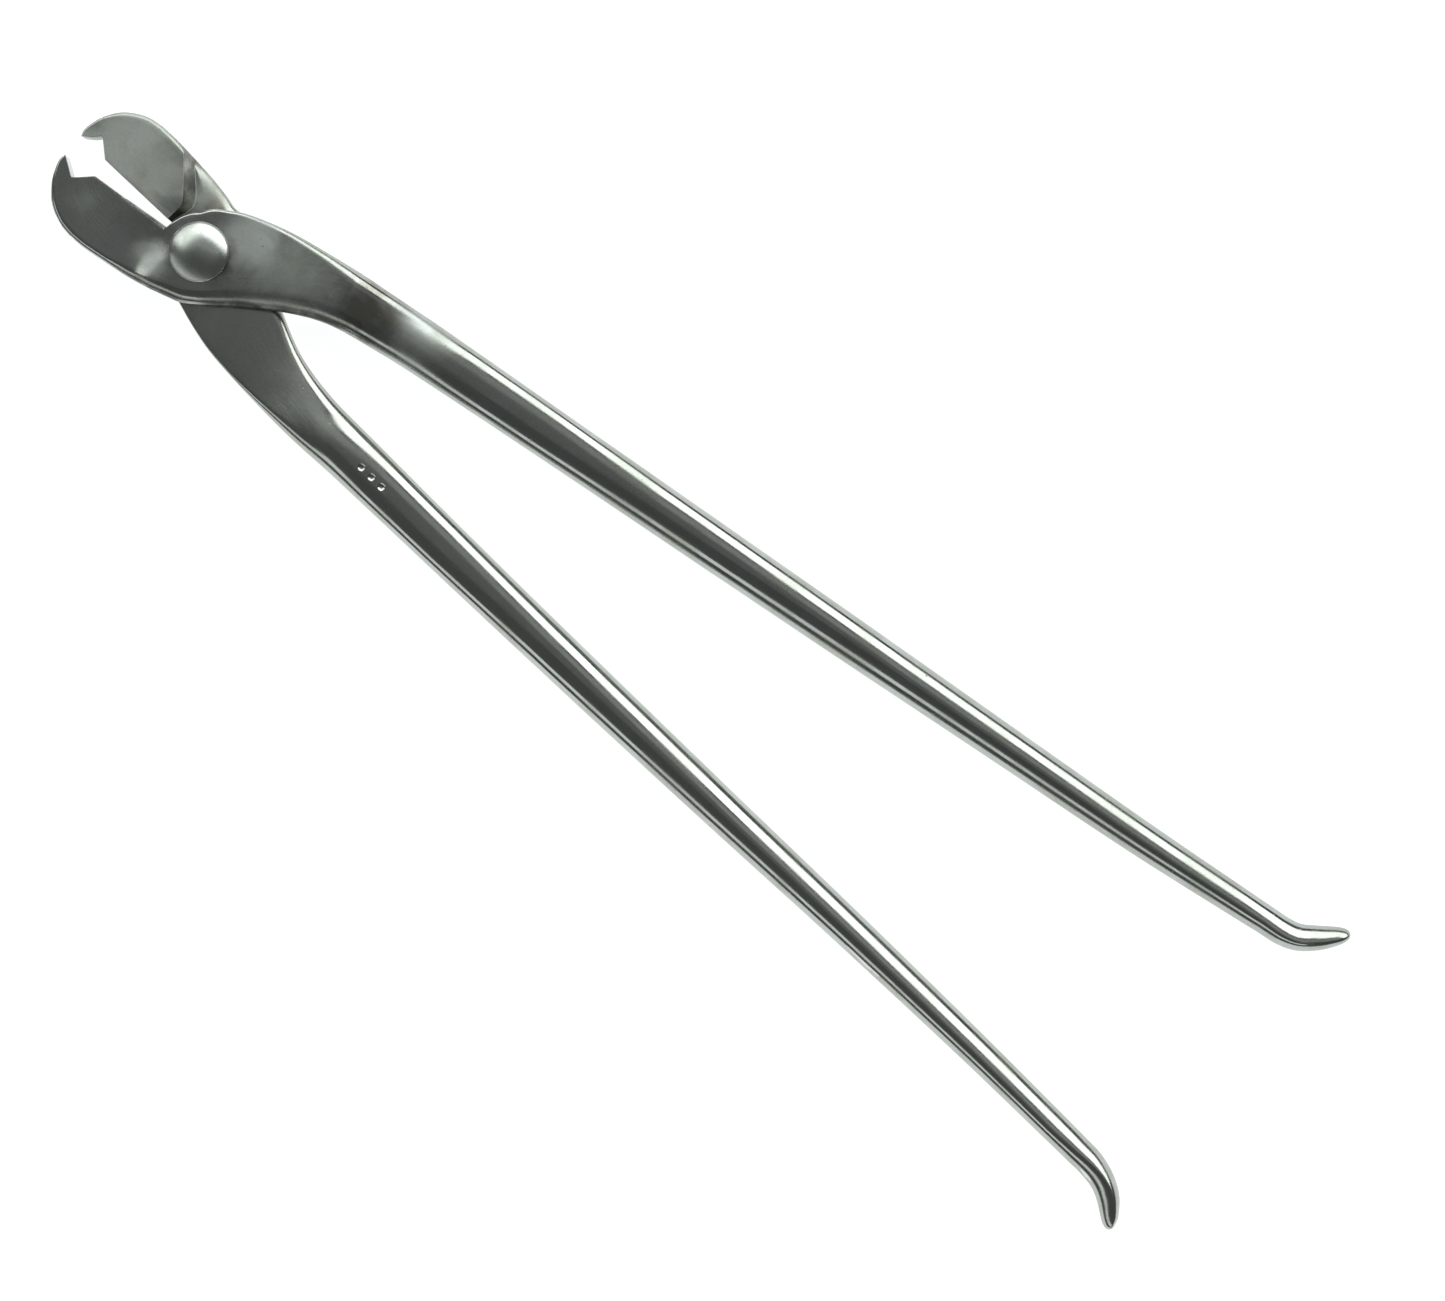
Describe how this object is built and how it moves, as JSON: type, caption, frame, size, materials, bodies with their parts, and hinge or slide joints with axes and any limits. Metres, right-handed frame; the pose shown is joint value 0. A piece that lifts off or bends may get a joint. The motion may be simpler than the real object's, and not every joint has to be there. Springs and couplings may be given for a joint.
{
  "type": "farrier's pincers",
  "caption": "Forged steel farrier's pincers: hooked jaws with a nail notch, a riveted lap joint, and long tapered reins whose tips turn outwards.",
  "frame": {"origin": "on the rivet's axis, at the flat of its rear head, which the tool stands on", "axes": "+X from the pivot out between the jaws, halfway between their two edges; +Z along the rivet towards its domed head; the front arm's jaw is on the +Y side"},
  "size_m": [0.3531, 0.0911, 0.016],
  "materials": {
    "forged_steel": "satin, lightly pitted forging, worn bright along its edges",
    "rivet_steel": "satin, hammered and dressed smooth"
  },
  "bodies": {
    "front": {"front_arm": "forged_steel", "pivot_rivet": "rivet_steel"},
    "rear": {"rear_arm": "forged_steel"}
  },
  "joints": [
    {"name": "jaw_pivot", "type": "hinge", "parent": "front", "child": "rear", "pos_m": [0, 0, 0.0074], "axis": [0, 0, -1], "range_deg": [-8.1, 24]}
  ]
}
